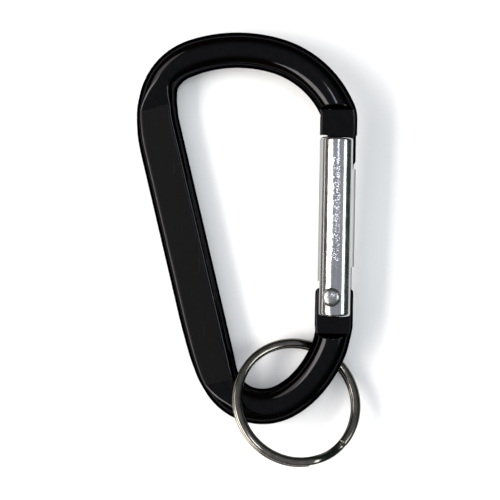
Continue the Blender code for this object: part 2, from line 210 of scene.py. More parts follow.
# Camera, straight above, and lights
CAMERA_HEIGHT = 0.2835
CAMERA_PLACE = (0.00026, -0.00038)
CAMERA_ROLL = math.radians(1.07)
CAMERA_LENS = 103.0
SOFTBOX_HEIGHT = 0.9
FLOOR_HALF_WIDTH = 4.0
WARM_WHITE = (1.0, 0.97, 0.92)


def carabiner_plane():
    """How the carabiner's own plane lies in the row frame."""
    joints = {joint["name"]: joint for joint in frame["joints"]}
    front = Vector(joints["gate_pivot"]["axis"]).normalized()
    along = Vector(joints["plunger_slide"]["axis"])
    right = along.cross(front).normalized()
    along = front.cross(right)
    plane = Matrix((right, along, front)).transposed().to_4x4()
    pivot = Vector(joints["gate_pivot"]["pos_m"])
    plane.translation = pivot - plane.to_3x3() @ Vector((*PIVOT, 0))
    return plane


PLANE = carabiner_plane()
TO_AXIS_Y = Matrix.Rotation(math.radians(-90), 4, "X")


# ---------------------------------------------------------------- meshes


def new_piece(name, mesh, material, matrix=Matrix.Identity(4), sharp_angle=40):
    """An object for that mesh, moved into the carabiner's plane. With no angle the shading stays as it is."""
    if sharp_angle:
        mesh.shade_smooth()
        mesh.set_sharp_from_angle(angle=math.radians(sharp_angle))
    mesh.transform(PLANE @ matrix)
    mesh.materials.clear()
    mesh.materials.append(material)
    piece = bpy.data.objects.new(name, mesh)
    bpy.context.scene.collection.objects.link(piece)
    return piece


def stand_in(piece, body, slot, *nodes):
    """The piece rides on a body and stands for those CAD nodes. The slot argument is not used."""
    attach(piece, body)
    if nodes:
        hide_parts(*nodes)
    return piece


def mesh_of(name, points, faces):
    """A mesh of those points and faces, with its faces turned outwards."""
    mesh = bpy.data.meshes.new(name)
    mesh.from_pydata([tuple(point) for point in points], [], faces)
    bm = bmesh.new()
    bm.from_mesh(mesh)
    bmesh.ops.recalc_face_normals(bm, faces=bm.faces)
    bm.to_mesh(mesh)
    bm.free()
    return mesh


def finished(name, bm):
    """A new mesh from a bmesh, which is freed."""
    mesh = bpy.data.meshes.new(name)
    bm.to_mesh(mesh)
    bm.free()
    return mesh


def loft(name, rings):
    """A tube through rings of points, each an array of shape (columns, 3), with flat end faces."""
    rings = np.asarray(rings)
    count, columns = rings.shape[:2]
    faces = []
    for i in range(count - 1):
        for k in range(columns):
            n = (k + 1) % columns
            faces.append((i * columns + k, i * columns + n, (i + 1) * columns + n, (i + 1) * columns + k))
    faces.append(tuple(range(columns)))
    faces.append(tuple(range((count - 1) * columns, count * columns)))
    return mesh_of(name, rings.reshape(-1, 3), faces)


def turned(name, profile, columns=64):
    """A solid turned about Z from (radius, height) points that start and end on the axis."""
    bm = bmesh.new()
    turn = [2 * math.pi * k / columns for k in range(columns)]
    rows = []
    for radius, height in profile:
        if radius == 0:
            rows.append([bm.verts.new((0, 0, height))])
        else:
            rows.append([bm.verts.new((radius * math.cos(a), radius * math.sin(a), height)) for a in turn])
    for upper, lower in zip(rows, rows[1:]):
        for k in range(columns):
            n = (k + 1) % columns
            if len(upper) == 1:
                bm.faces.new((upper[0], lower[k], lower[n]))
            elif len(lower) == 1:
                bm.faces.new((upper[k], lower[0], upper[n]))
            else:
                bm.faces.new((upper[k], lower[k], lower[n], upper[n]))
    bmesh.ops.recalc_face_normals(bm, faces=bm.faces)
    return finished(name, bm)


def prism_mesh(name, outline, half_height):
    """A flat outline in the XY plane, half_height thick each way along Z."""
    bm = bmesh.new()
    floor = bm.faces.new([bm.verts.new((x, y, -half_height)) for x, y in outline])
    raised = bmesh.ops.extrude_face_region(bm, geom=[floor])["geom"]
    lifted = [item for item in raised if isinstance(item, bmesh.types.BMVert)]
    bmesh.ops.translate(bm, verts=lifted, vec=(0, 0, 2 * half_height))
    bmesh.ops.recalc_face_normals(bm, faces=bm.faces)
    return finished(name, bm)


def rod_mesh(name, radius, start, end, columns=64):
    """A plain round rod between two points, for cutting."""
    start, end = Vector(start), Vector(end)
    bm = bmesh.new()
    bmesh.ops.create_cone(
        bm, cap_ends=True, segments=columns, radius1=radius, radius2=radius, depth=(end - start).length
    )
    turn = (end - start).to_track_quat("Z", "Y").to_matrix().to_4x4()
    bm.transform(Matrix.Translation((start + end) / 2) @ turn)
    return finished(name, bm)


def cut_mesh(mesh, cutter_meshes):
    """The mesh less all the cutters."""
    body = bpy.data.objects.new("cut_body", mesh)
    bpy.context.scene.collection.objects.link(body)
    cutters = []
    for cutter_mesh in cutter_meshes:
        cutter = bpy.data.objects.new("cutter", cutter_mesh)
        bpy.context.scene.collection.objects.link(cutter)
        boolean = body.modifiers.new("cut", "BOOLEAN")
        boolean.operation = "DIFFERENCE"
        boolean.solver = "EXACT"
        boolean.object = cutter
        cutters.append(cutter)
    bpy.context.view_layer.update()
    evaluated = body.evaluated_get(bpy.context.evaluated_depsgraph_get())
    result = bpy.data.meshes.new_from_object(evaluated)
    result.name = mesh.name
    for temporary in [body, *cutters]:
        bpy.data.objects.remove(temporary)
    return result


# ---------------------------------------------------------------- frame


def bar_path():
    """Evenly spaced centreline points, from the nose's tip to the hinge's, and where the spine starts."""
    place = Vector(NOSE_KINK)
    heading = math.radians(FIRST_HEADING)
    corners = [Vector((NOSE_X, NOSE_TIP_Y)), place.copy()]
    place += NOSE_STRAIGHT * Vector((math.cos(heading), math.sin(heading)))
    corners.append(place.copy())
    spine_start = None
    for radius, amount in CENTRELINE:
        if radius is None:
            spine_start = place.copy()
            corners.append(place + amount * Vector((math.cos(heading), math.sin(heading))))
        else:
            turn = math.radians(amount)
            centre = place + radius * Vector((-math.sin(heading), math.cos(heading)))
            for i in range(1, round(amount) + 1):
                angle = heading + turn * i / round(amount)
                corners.append(centre + radius * Vector((math.sin(angle), -math.cos(angle))))
            heading += turn
        place = corners[-1].copy()
    corners += [Vector((HINGE_X, HINGE_KINK_Y)), Vector((HINGE_X, HINGE_TIP_Y))]

    corners = np.array(corners)
    travelled = np.concatenate(([0], np.cumsum(np.linalg.norm(np.diff(corners, axis=0), axis=1))))
    distances = np.arange(0, travelled[-1], PATH_STEP)
    points = np.stack([np.interp(distances, travelled, corners[:, axis]) for axis in (0, 1)], axis=1)
    return points, distances, spine_start


def running_mean(values, count):
    """Each value averaged with its neighbours; the ends run straight on, so they stay where they are."""
    half = count // 2
    start = values[0] - (values[1:half + 1] - values[0])[::-1]
    end = values[-1] - (values[-half - 1:-1] - values[-1])[::-1]
    padded = np.concatenate((start, values, end))
    return np.convolve(padded, np.ones(2 * half + 1) / (2 * half + 1), mode="valid")


def soft_min(a, b, rounding):
    """The smaller of the two, with the corner between them rounded."""
    overlap = np.maximum(rounding - np.abs(a - b), 0) / rounding
    return np.minimum(a, b) - overlap * overlap * rounding / 4


def press_height(x, y, spine_start):
    """How high the dies leave the bar's faces at that place, and whether it is on the spine's panel."""
    ahead_x, ahead_y = math.cos(SPINE_HEADING), math.sin(SPINE_HEADING)
    along = (x - spine_start.x) * ahead_x + (y - spine_start.y) * ahead_y
    across = (y - spine_start.y) * ahead_x - (x - spine_start.x) * ahead_y
    beyond = np.maximum(PANEL_START - along, along - PANEL_END)
    slope = (PRESS_TOP - PANEL_HALF_THICKNESS) / PANEL_RAMP
    panel = PANEL_HALF_THICKNESS + slope * np.maximum(beyond, 0)
    panel = np.where(np.abs(across) < PRESS_HALF_WIDTH, panel, PRESS_TOP)
    step = np.where(y > 0, y - NOSE_STEP_Y, HINGE_STEP_Y - y)
    slope = (PRESS_TOP - TONGUE_HALF_THICKNESS) / TONGUE_STEP_RUN
    tongue = TONGUE_HALF_THICKNESS + slope * np.maximum(step, 0)
    near_gate = np.abs(x - NOSE_X) < PRESS_HALF_WIDTH
    tongue = np.where(near_gate, tongue, PRESS_TOP)
    on_panel = (np.abs(across) < PRESS_HALF_WIDTH) & (beyond < 0)
    return np.minimum(np.minimum(panel, tongue), PRESS_TOP), on_panel


def crowded(count):
    """Shares from 0 up to 1, crowded at both ends."""
    return (1 - np.cos(np.pi * np.arange(count) / count)) / 2


def section_angles(flat_angle, flat_columns=30, side_columns=36):
    """Angles round a section, from its outer side over the front, crowded where the pressed flats end."""
    quarter = math.pi / 2
    side = quarter - flat_angle
    return np.concatenate((
        -side + 2 * side * crowded(side_columns),
        side + 2 * flat_angle * crowded(flat_columns),
        2 * quarter - side + 2 * side * crowded(side_columns),
        2 * quarter + side + 2 * flat_angle * crowded(flat_columns),
    ))


def half_widths(distances, points):
    """The bar's outer and inner half widths at those places."""
    from_bend = (distances - (NOSE_KINK[1] - NOSE_TIP_Y) - NOSE_STRAIGHT) / MM
    widths = []
    for table in (OUTER_HALF_WIDTHS, INNER_HALF_WIDTHS):
        table = np.array(table)
        widths.append(np.interp(from_bend, table[:, 0], table[:, 1]) * MM)
    outer, inner = widths
    end = distances[-1]
    x, y = points[:, 0], points[:, 1]
    nose = (distances < TONGUE_REACH) & (y < NOSE_KINK[1])
    hinge = (distances > end - TONGUE_REACH) & (y > HINGE_KINK_Y)
    for on_tongue, width in ((nose, NOSE_HALF_WIDTH), (hinge, HINGE_HALF_WIDTH)):
        outer = np.where(on_tongue, width, outer)
        inner = np.where(on_tongue, width, inner)
    window = round(WIDTH_ROUNDING / PATH_STEP)
    outer = running_mean(outer, window)
    inner = running_mean(inner, window)
    in_slot = nose & (y < GATE_TOP_Y + GAP)
    outer = np.where(in_slot, GATE_X + GATE_RADIUS - NOSE_INSET - NOSE_X, outer)
    inner = np.where(in_slot, NOSE_X - NOSE_CATCH_X, inner)
    to_tip = np.minimum(distances, end - distances)
    depth = np.clip(1 - to_tip / TIP_CORNER, 0, 1)
    narrowing = TIP_CORNER * (1 - np.sqrt(1 - depth * depth))
    return outer - narrowing, inner - narrowing


def station_indices(points, distances, spine_start):
    """Which centreline points carry a section: close together where the dies step or the bar narrows."""
    x, y = points[:, 0], points[:, 1]
    along = (x - spine_start.x) * math.cos(SPINE_HEADING) + (y - spine_start.y) * math.sin(SPINE_HEADING)
    beyond = np.maximum(PANEL_START - along, along - PANEL_END)
    on_ramp = (x < SPINE_SIDE_X) & (beyond > -RAMP_MARGIN) & (beyond < PANEL_RAMP + RAMP_MARGIN)
    gate_side = x > GATE_SIDE_X
    near_nose_step = np.abs(y - NOSE_STEP_Y - TONGUE_STEP_RUN / 2) < STEP_MARGIN
    near_hinge_step = np.abs(y - HINGE_STEP_Y + TONGUE_STEP_RUN / 2) < STEP_MARGIN
    on_step = gate_side & (near_nose_step | near_hinge_step)
    on_catch = gate_side & (np.abs(y - GATE_TOP_Y - GAP) < CATCH_MARGIN)
    at_tip = np.minimum(distances, distances[-1] - distances) < TIP_CORNER
    step = np.where(on_ramp, RAMP_STATIONS, PLAIN_STATIONS)
    step = np.where(on_step | at_tip, STEP_STATIONS, step)
    step = np.where(on_catch, CATCH_STATIONS, step)
    chosen = [0]
    while chosen[-1] + step[chosen[-1]] < len(points):
        chosen.append(chosen[-1] + int(step[chosen[-1]]))
    if chosen[-1] != len(points) - 1:
        chosen.append(len(points) - 1)
    return chosen


def make_frame(material):
    """The bent bar with its pressed panels and tongues, as one fine surface."""
    points, distances, spine_start = bar_path()
    window = round(KINK_ROUNDING / PATH_STEP)
    points = np.stack([running_mean(points[:, axis], window) for axis in (0, 1)], axis=1)
    outer_widths, inner_widths = half_widths(distances, points)
    headings = np.gradient(points, axis=0)
    headings /= np.linalg.norm(headings, axis=1)[:, None]

    rings = []
    pressed = []
    for i in station_indices(points, distances, spine_start):
        height, _ = press_height(points[i, 0], points[i, 1], spine_start)
        flat_angle = max(math.acos(min(float(height) / BAR_RADIUS, 1.0)), LEAST_FLAT_ANGLE)
        angles = section_angles(flat_angle)
        reach = np.cos(angles) * np.where(np.cos(angles) > 0, outer_widths[i], inner_widths[i])
        x = points[i, 0] + headings[i, 1] * reach
        y = points[i, 1] - headings[i, 0] * reach
        z = BAR_RADIUS * np.sin(angles)
        limit, on_panel = press_height(x, y, spine_start)
        level = np.abs(z)
        flattened = soft_min(level, limit, PRESS_EDGE)
        rings.append(np.stack((x, y, np.sign(z) * flattened), axis=1))
        pressed.append(np.clip((level - limit) / PRESS_FADE, 0, 1) * on_panel)
    mesh = loft("frame_bar", rings)
    attribute = mesh.attributes.new("pressed", "FLOAT", "POINT")
    attribute.data.foreach_set("value", np.concatenate(pressed).astype(np.float32))
    hole_ends = [(PIVOT[0], PIVOT[1], z) for z in (-BAR_RADIUS, BAR_RADIUS)]
    mesh = cut_mesh(mesh, [rod_mesh("tongue_hole", RIVET_RADIUS + GAP, *hole_ends)])
    return stand_in(new_piece("frame_bar", mesh, material), "frame", "black_anodised", "frame")


# ---------------------------------------------------------------- gate


def gate_profile():
    """(radius, y) from the gate's bottom to its top, with rounded ends."""
    fillet = [math.radians(90 * i / 8) for i in range(9)]
    core = GATE_RADIUS - GATE_EDGE
    bottom = [
        (core + GATE_EDGE * math.sin(a), GATE_BOTTOM_Y + GATE_EDGE * (1 - math.cos(a))) for a in fillet
    ]
    top = [(core + GATE_EDGE * math.cos(a), GATE_TOP_Y - GATE_EDGE * (1 - math.sin(a))) for a in fillet]
    start, end = bottom[-1][1], top[0][1]
    rows = 30
    middle = [(GATE_RADIUS, start + (end - start) * i / rows) for i in range(1, rows)]
    return [(0, GATE_BOTTOM_Y), *bottom, *middle, *top, (0, GATE_TOP_Y)]


def gate_normal(place):
    """The outward direction of the gate's turned surface there, or None away from that surface."""
    radial = Vector((place.x - GATE_X, 0, place.z))
    reach = radial.length
    if reach < WELD_DISTANCE:
        return None
    radial /= reach
    core = GATE_RADIUS - GATE_EDGE
    if place.y > GATE_TOP_Y - GATE_EDGE:
        past = place.y - (GATE_TOP_Y - GATE_EDGE)
    elif place.y < GATE_BOTTOM_Y + GATE_EDGE:
        past = place.y - (GATE_BOTTOM_Y + GATE_EDGE)
    else:
        past = 0.0
    if reach < core:
        on_end_face = abs(abs(past) - GATE_EDGE) < END_TOLERANCE
        return Vector((0, math.copysign(1, past), 0)) if on_end_face else None
    if abs(math.hypot(reach - core, past) - GATE_EDGE) > NORMAL_TOLERANCE:
        return None
    return (radial * (reach - core) + Vector((0, past, 0))).normalized()


def soften_slot_edges(mesh):
    """A narrow rounding where the slots, pockets and bore break through the gate's turned surface."""
    bm = bmesh.new()
    bm.from_mesh(mesh)
    bmesh.ops.remove_doubles(bm, verts=bm.verts, dist=WELD_DISTANCE)
    least_angle = math.radians(25)
    edges = []
    for edge in bm.edges:
        if len(edge.link_faces) != 2 or edge.calc_face_angle(0) < least_angle:
            continue
        if all(gate_normal(vert.co) is not None for vert in edge.verts):
            edges.append(edge)
    bmesh.ops.bevel(
        bm, geom=edges, offset=SLOT_EDGE, offset_type="OFFSET", segments=3, profile=0.5, affect="EDGES",
        clamp_overlap=True,
    )
    bmesh.ops.recalc_face_normals(bm, faces=bm.faces)
    bm.to_mesh(mesh)
    bm.free()


def set_turned_normals(mesh):
    """Gives the turned surface its true normals, so that the cuts leave no ripples in the reflections."""
    mesh.shade_smooth()
    mesh.set_sharp_from_angle(angle=math.radians(35))
    facing_share = 0.8
    normals = [Vector(corner.vector) for corner in mesh.corner_normals]
    for face in mesh.polygons:
        for loop_index in face.loop_indices:
            place = mesh.vertices[mesh.loops[loop_index].vertex_index].co
            true_normal = gate_normal(place)
            if true_normal is not None and true_normal.dot(face.normal) > facing_share:
                normals[loop_index] = true_normal
    mesh.normals_split_custom_set([tuple(normal) for normal in normals])


def gate_cutters():
    """What is cut from the gate's rod: both slots, the bore, the rivet's hole and a pocket for each head."""
    inner_x, outer_x = GATE_X - GATE_RADIUS, GATE_X + GATE_RADIUS
    nose_slot = (
        (inner_x + NOSE_SLOT_WEB, GATE_TOP_Y + CUT_PAST),
        (inner_x + NOSE_SLOT_WEB, NOSE_SLOT_END_Y),
        (outer_x + CUT_PAST, NOSE_SLOT_END_Y),
        (outer_x + CUT_PAST, GATE_TOP_Y + CUT_PAST),
    )
    slope = (HINGE_SLOT_OUTER_Y - HINGE_SLOT_INNER_Y) / (2 * GATE_RADIUS)
    hinge_slot = (
        (inner_x - CUT_PAST, GATE_BOTTOM_Y - CUT_PAST),
        (outer_x + CUT_PAST, GATE_BOTTOM_Y - CUT_PAST),
        (outer_x + CUT_PAST, HINGE_SLOT_OUTER_Y + slope * CUT_PAST),
        (inner_x - CUT_PAST, HINGE_SLOT_INNER_Y - slope * CUT_PAST),
    )
    cutters = [
        prism_mesh("nose_slot", nose_slot, SLOT_HALF_WIDTH),
        prism_mesh("hinge_slot", hinge_slot, SLOT_HALF_WIDTH),
        rod_mesh("bore", BORE_RADIUS, (GATE_X, GATE_BOTTOM_Y - CUT_PAST, 0), (GATE_X, BORE_END_Y, 0)),
        rod_mesh("rivet_hole", RIVET_RADIUS + GAP, (*PIVOT, -RIVET_CUT_REACH), (*PIVOT, RIVET_CUT_REACH)),
    ]
    pocket_floor = RIVET_HEAD_BASE - GAP
    for side in (1, -1):
        ends = ((*PIVOT, side * pocket_floor), (*PIVOT, side * RIVET_CUT_REACH))
        cutters.append(rod_mesh("head_pocket", RIVET_HEAD_RADIUS + POCKET_CLEARANCE, *ends))
    return cutters


def make_gate(material):
    """The gate's rod, with its slots, bore and rivet pockets cut out and their edges eased."""
    rod = turned("gate_rod", gate_profile(), 112)
    rod.transform(Matrix.Translation((GATE_X, 0, 0)) @ TO_AXIS_Y)
    mesh = cut_mesh(rod, gate_cutters())
    soften_slot_edges(mesh)
    set_turned_normals(mesh)
    gate = new_piece("gate_rod", mesh, material, sharp_angle=None)
    return stand_in(gate, "gate", "polished_aluminium", "gate")


def make_crumpled_band(material):
    """A band of small crumpled ridges, pressed along the front of the gate."""
    rows = round((CRUMPLE_END_Y - CRUMPLE_START_Y) / CRUMPLE_STEP)
    columns = round(2 * CRUMPLE_HALF_WIDTH / CRUMPLE_STEP)
    y = np.linspace(CRUMPLE_START_Y, CRUMPLE_END_Y, rows + 1)[:, None]
    across = np.linspace(-CRUMPLE_HALF_WIDTH, CRUMPLE_HALF_WIDTH, columns + 1)[None, :]
    ridges = np.array([
        [1 - 2 * abs(noise.noise(Vector((x, along, 0)) / CRUMPLE_SIZE)) for x in across[0]]
        for along in y[:, 0]
    ])
    to_end = np.minimum(y - CRUMPLE_START_Y, CRUMPLE_END_Y - y)
    to_edge = np.minimum(CRUMPLE_HALF_WIDTH - np.abs(across), to_end)
    fade = np.clip(to_edge / CRUMPLE_FADE, 0, 1)
    height = CRUMPLE_HEIGHT * ridges * fade - CRUMPLE_EDGE_DEPTH * (1 - fade)
    angle = across / GATE_RADIUS
    layers = []
    for radius in (GATE_RADIUS + height, np.full_like(height, GATE_RADIUS - CRUMPLE_BASE_DEPTH)):
        x = GATE_X + radius * np.sin(angle)
        z = radius * np.cos(angle)
        layers.append(np.stack((x, np.broadcast_to(y, x.shape), z), axis=2).reshape(-1, 3))
    width = columns + 1
    size = (rows + 1) * width
    faces = []
    for i in range(rows):
        for k in range(columns):
            a = i * width + k
            faces.append((a, a + 1, a + width + 1, a + width))
            faces.append((size + a, size + a + width, size + a + width + 1, size + a + 1))
    rim = list(range(columns)) + [i * width + columns for i in range(rows)]
    rim += [rows * width + k for k in range(columns, 0, -1)] + [i * width for i in range(rows, 0, -1)]
    for a, b in zip(rim, rim[1:] + rim[:1]):
        faces.append((a, size + a, size + b, b))
    mesh = mesh_of("gate_crumpled_band", np.concatenate(layers), faces)
    band = new_piece("gate_crumpled_band", mesh, material, sharp_angle=60)
    return stand_in(band, "gate", "polished_aluminium")


# ---------------------------------------------------------------- small parts in the gate


def make_rivet(material):
    """Two peened domes on one shank."""
    dome = [math.radians(90 * i / 14) for i in range(15)]
    fullness = 0.9
    head = [
        (RIVET_HEAD_RADIUS * math.sin(a) ** fullness, RIVET_HEAD_BASE + RIVET_HEAD_RISE * math.cos(a))
        for a in dome
    ]
    upper = head + [(RIVET_RADIUS, RIVET_HEAD_BASE)]
    lower = [(radius, -height) for radius, height in reversed(upper)]
    mesh = turned("hinge_rivet_peened", upper + lower, 72)
    for vertex in mesh.vertices:
        if abs(vertex.co.z) > RIVET_HEAD_BASE:
            dent = noise.noise(vertex.co / DENT_SIZE) + 0.5 * noise.noise(vertex.co / SMALL_DENT_SIZE)
            vertex.co.z -= math.copysign(DENT_DEPTH * max(dent, -0.5), vertex.co.z)
    rivet = new_piece("hinge_rivet_peened", mesh, material, Matrix.Translation((*PIVOT, 0)))
    return stand_in(rivet, "gate", "rivet_steel", "hinge_rivet")


def make_plunger(material):
    """A pin with rounded ends, and a thinner spigot that the spring sits on."""
    edge = PLUNGER_EDGE
    round_over = [math.radians(90 * i / 5) for i in range(6)]
    nose = [(PLUNGER_RADIUS - edge * (1 - math.cos(a)), edge * (1 - math.sin(a))) for a in round_over]
    top = PLUNGER_LENGTH + SPIGOT_LENGTH
    tip = [(SPIGOT_RADIUS - edge * (1 - math.cos(a)), top - edge * (1 - math.sin(a))) for a in round_over]
    profile = [(0, top), *reversed(tip), (SPIGOT_RADIUS, PLUNGER_LENGTH), (PLUNGER_RADIUS, PLUNGER_LENGTH)]
    profile += [*nose, (0, 0)]
    mesh = turned("plunger_pin", profile, 56)
    place = Matrix.Translation((GATE_X, PLUNGER_BOTTOM_Y, 0)) @ TO_AXIS_Y
    plunger = new_piece("plunger_pin", mesh, material, place)
    return stand_in(plunger, "plunger", "plunger_steel", "spring_plunger")


def wire_rings(centres, section):
    """Sections of (away from Z, along Z) points, set square to the centreline of a wire wound about Z."""
    centres = np.asarray(centres)
    ahead = np.gradient(centres, axis=0)
    ahead /= np.linalg.norm(ahead, axis=1)[:, None]
    across = centres * (1, 1, 0)
    across -= ahead * np.sum(across * ahead, axis=1)[:, None]
    across /= np.linalg.norm(across, axis=1)[:, None]
    up = np.cross(ahead, across)
    section = np.asarray(section)
    return centres[:, None] + across[:, None] * section[None, :, :1] + up[:, None] * section[None, :, 1:]


def make_spring(material):
    """An open coil in the gate's bore."""
    coil_radius = BORE_RADIUS - GAP - SPRING_WIRE_RADIUS
    per_turn = 44
    count = SPRING_TURNS * per_turn
    centres = []
    for i in range(count + 1):
        angle = 2 * math.pi * i / per_turn
        rise = (SPRING_END_Y - SPRING_START_Y) * i / count
        centres.append((coil_radius * math.cos(angle), coil_radius * math.sin(angle), rise))
    turn = [2 * math.pi * k / 14 for k in range(14)]
    section = [(SPRING_WIRE_RADIUS * math.cos(a), SPRING_WIRE_RADIUS * math.sin(a)) for a in turn]
    mesh = loft("spring_coil", wire_rings(centres, section))
    place = Matrix.Translation((GATE_X, SPRING_START_Y, 0)) @ TO_AXIS_Y
    spring = new_piece("spring_coil", mesh, material, place)
    stand_in(spring, "gate", "spring_steel", "gate_spring")
    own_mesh(spring)
    return spring


# ---------------------------------------------------------------- key ring


def smooth_step(share):
    """0 below 0 and 1 above 1, with an eased rise between."""
    share = min(max(share, 0.0), 1.0)
    return share * share * (3 - 2 * share)


def domed_section(half_width, half_height, power, columns=32):
    """A flat wire's section with full, slightly domed sides."""
    section = []
    for k in range(columns):
        angle = 2 * math.pi * k / columns
        cosine, sine = math.cos(angle), math.sin(angle)
        section.append((
            math.copysign(abs(cosine) ** (2 / power), cosine) * half_width,
            math.copysign(abs(sine) ** (2 / power), sine) * half_height,
        ))
    return section


def make_key_ring(material):
    """Two turns of flat wire that lie on each other, joined by one short crossover."""
    first = RING_CROSSOVER_START + RING_CROSSOVER_SPAN - 360 + RING_END_GAP
    last = RING_CROSSOVER_START + 360 - RING_END_GAP
    count = 460
    centres = []
    for i in range(count + 1):
        degrees = first + (last - first) * i / count
        crossed = smooth_step((degrees - RING_CROSSOVER_START) / RING_CROSSOVER_SPAN)
        angle = math.radians(degrees)
        centres.append((
            RING_MEAN_RADIUS * math.cos(angle),
            RING_MEAN_RADIUS * math.sin(angle),
            RING_PITCH * (0.5 - crossed),
        ))
    section = domed_section(RING_WIRE_WIDTH / 2, RING_WIRE_HEIGHT / 2, RING_SECTION_POWER)
    rings = wire_rings(centres, section)
    ends = []
    for ring, inward in ((rings[0], rings[1] - rings[0]), (rings[-1], rings[-2] - rings[-1])):
        middle = ring.mean(axis=0)
        back = inward.mean(axis=0)
        back /= np.linalg.norm(back)
        ends.append((middle + (ring - middle) * RING_CUT_SHARE, ring + back * RING_CUT_EDGE))
    rings = [ends[0][0], ends[0][1], *rings[1:-1], ends[1][1], ends[1][0]]
    mesh = loft("split_ring", rings)
    lean_axis = (-math.sin(RING_LEAN_TOWARDS), math.cos(RING_LEAN_TOWARDS), 0)
    place = Matrix.Translation(RING_CENTRE) @ Quaternion(lean_axis, RING_LEAN).to_matrix().to_4x4()
    return stand_in(new_piece("split_ring", mesh, material, place), "ring", "nickel_plate", "key_ring")


# ---------------------------------------------------------------- materials


def new_material(name, colour, metallic, roughness):
    """A material with its node tree, its Principled shader and the object's coordinates."""
    material = bpy.data.materials.new(name)
    material.use_nodes = True
    tree = material.node_tree
    shader = tree.nodes["Principled BSDF"]
    shader.inputs["Base Color"].default_value = (*colour, 1)
    shader.inputs["Metallic"].default_value = metallic
    shader.inputs["Roughness"].default_value = roughness
    coordinates = tree.nodes.new("ShaderNodeTexCoord").outputs["Object"]
    return material, tree, shader, coordinates


def stretched(tree, coordinates, scale, rotation=(0, 0, 0)):
    """The coordinates turned, and times a scale along each axis."""
    mapping = tree.nodes.new("ShaderNodeMapping")
    mapping.inputs["Rotation"].default_value = rotation
    mapping.inputs["Scale"].default_value = scale
    tree.links.new(coordinates, mapping.inputs["Vector"])
    return mapping.outputs["Vector"]


def noise_of(tree, coordinates, scale, detail=3.0, roughness=0.55):
    """Cloudy noise, mostly between 0.3 and 0.7, with about that many features in a unit of length."""
    texture = tree.nodes.new("ShaderNodeTexNoise")
    texture.inputs["Scale"].default_value = scale
    texture.inputs["Detail"].default_value = detail
    texture.inputs["Roughness"].default_value = roughness
    tree.links.new(coordinates, texture.inputs["Vector"])
    return texture.outputs["Fac"]


def ranged(tree, value, low, high, to_low, to_high):
    """The value's span from low to high, mapped to another and clamped."""
    node = tree.nodes.new("ShaderNodeMapRange")
    for socket, number in (("From Min", low), ("From Max", high), ("To Min", to_low), ("To Max", to_high)):
        node.inputs[socket].default_value = number
    tree.links.new(value, node.inputs["Value"])
    return node.outputs["Result"]


def socket_of(sockets, identifier):
    """The socket with that identifier: a Mix node has several sockets with the same name."""
    return next(socket for socket in sockets if socket.identifier == identifier)


def blended(tree, factor, first, second):
    """A colour between two, by the factor. Each colour is three numbers or another node's output."""
    node = tree.nodes.new("ShaderNodeMix")
    node.data_type = "RGBA"
    tree.links.new(factor, node.inputs["Factor"])
    for identifier, colour in (("A_Color", first), ("B_Color", second)):
        socket = socket_of(node.inputs, identifier)
        if isinstance(colour, tuple):
            socket.default_value = (*colour, 1)
        else:
            tree.links.new(colour, socket)
    return socket_of(node.outputs, "Result_Color")


def blended_value(tree, factor, first, second):
    """A number between two other nodes' outputs, by the factor."""
    node = tree.nodes.new("ShaderNodeMix")
    tree.links.new(factor, node.inputs["Factor"])
    tree.links.new(first, socket_of(node.inputs, "A_Float"))
    tree.links.new(second, socket_of(node.inputs, "B_Float"))
    return socket_of(node.outputs, "Result_Float")


def combined(tree, operation, first, second):
    """Two values put together by a maths operation. Each is a number or another node's output."""
    node = tree.nodes.new("ShaderNodeMath")
    node.operation = operation
    for socket, value in zip(node.inputs, (first, second)):
        if isinstance(value, (int, float)):
            socket.default_value = value
        else:
            tree.links.new(value, socket)
    return node.outputs["Value"]


def add_bump(tree, shader, height, distance):
    """Small relief on the surface, by a height between 0 and 1 times the distance."""
    bump = tree.nodes.new("ShaderNodeBump")
    bump.inputs["Distance"].default_value = distance
    bump.inputs["Strength"].default_value = 1.0
    tree.links.new(height, bump.inputs["Height"])
    tree.links.new(bump.outputs["Normal"], shader.inputs["Normal"])


def scratches(tree, coordinates, angle, scale, threshold):
    """Sparse fine hairlines in one direction, from 0 to 1."""
    tilt = (0.3, 0.2, math.radians(angle))
    along_scratch = stretched(tree, coordinates, (scale, scale * 0.03, scale), tilt)
    lines = noise_of(tree, along_scratch, 1.0, 2.0, 0.5)
    return ranged(tree, lines, threshold, threshold + 0.06, 0, 1)


def anodised_material():
    """Glossy black anodised aluminium: mirror-like on the round bar, satin on the pressed panels."""
    deep_black = (0.014, 0.014, 0.0155)
    worn_black = (0.018, 0.0175, 0.018)
    panel_black = (0.012, 0.0117, 0.012)
    scratch_grey = (0.035, 0.035, 0.035)
    material, tree, shader, place = new_material("black_anodised_finish", (0.016, 0.016, 0.017), 1.0, 0.1)
    shader.inputs["Specular Tint"].default_value = (0.15, 0.15, 0.17, 1)
    pressed = tree.nodes.new("ShaderNodeAttribute")
    pressed.attribute_name = "pressed"
    mottle = noise_of(tree, place, 900, 4)
    fine = noise_of(tree, place, 9000, 3)
    one_way = scratches(tree, place, 25, 3500, 0.7)
    other_way = scratches(tree, place, -50, 4200, 0.71)
    hairs = combined(tree, "MAXIMUM", one_way, other_way)
    patches = ranged(tree, mottle, 0.35, 0.7, 0, 1)
    colour = blended(tree, patches, deep_black, worn_black)
    colour = blended(tree, pressed.outputs["Fac"], colour, panel_black)
    colour = blended(tree, ranged(tree, hairs, 0, 1, 0, 0.5), colour, scratch_grey)
    tree.links.new(colour, shader.inputs["Base Color"])
    gloss = ranged(tree, mottle, 0.3, 0.75, 0.07, 0.12)
    satin = ranged(tree, fine, 0.3, 0.7, 0.3, 0.38)
    rough = blended_value(tree, pressed.outputs["Fac"], gloss, satin)
    tree.links.new(rough, shader.inputs["Roughness"])
    height = combined(tree, "ADD", combined(tree, "MULTIPLY", fine, 0.25), mottle)
    add_bump(tree, shader, height, 0.006 * MM)
    return material


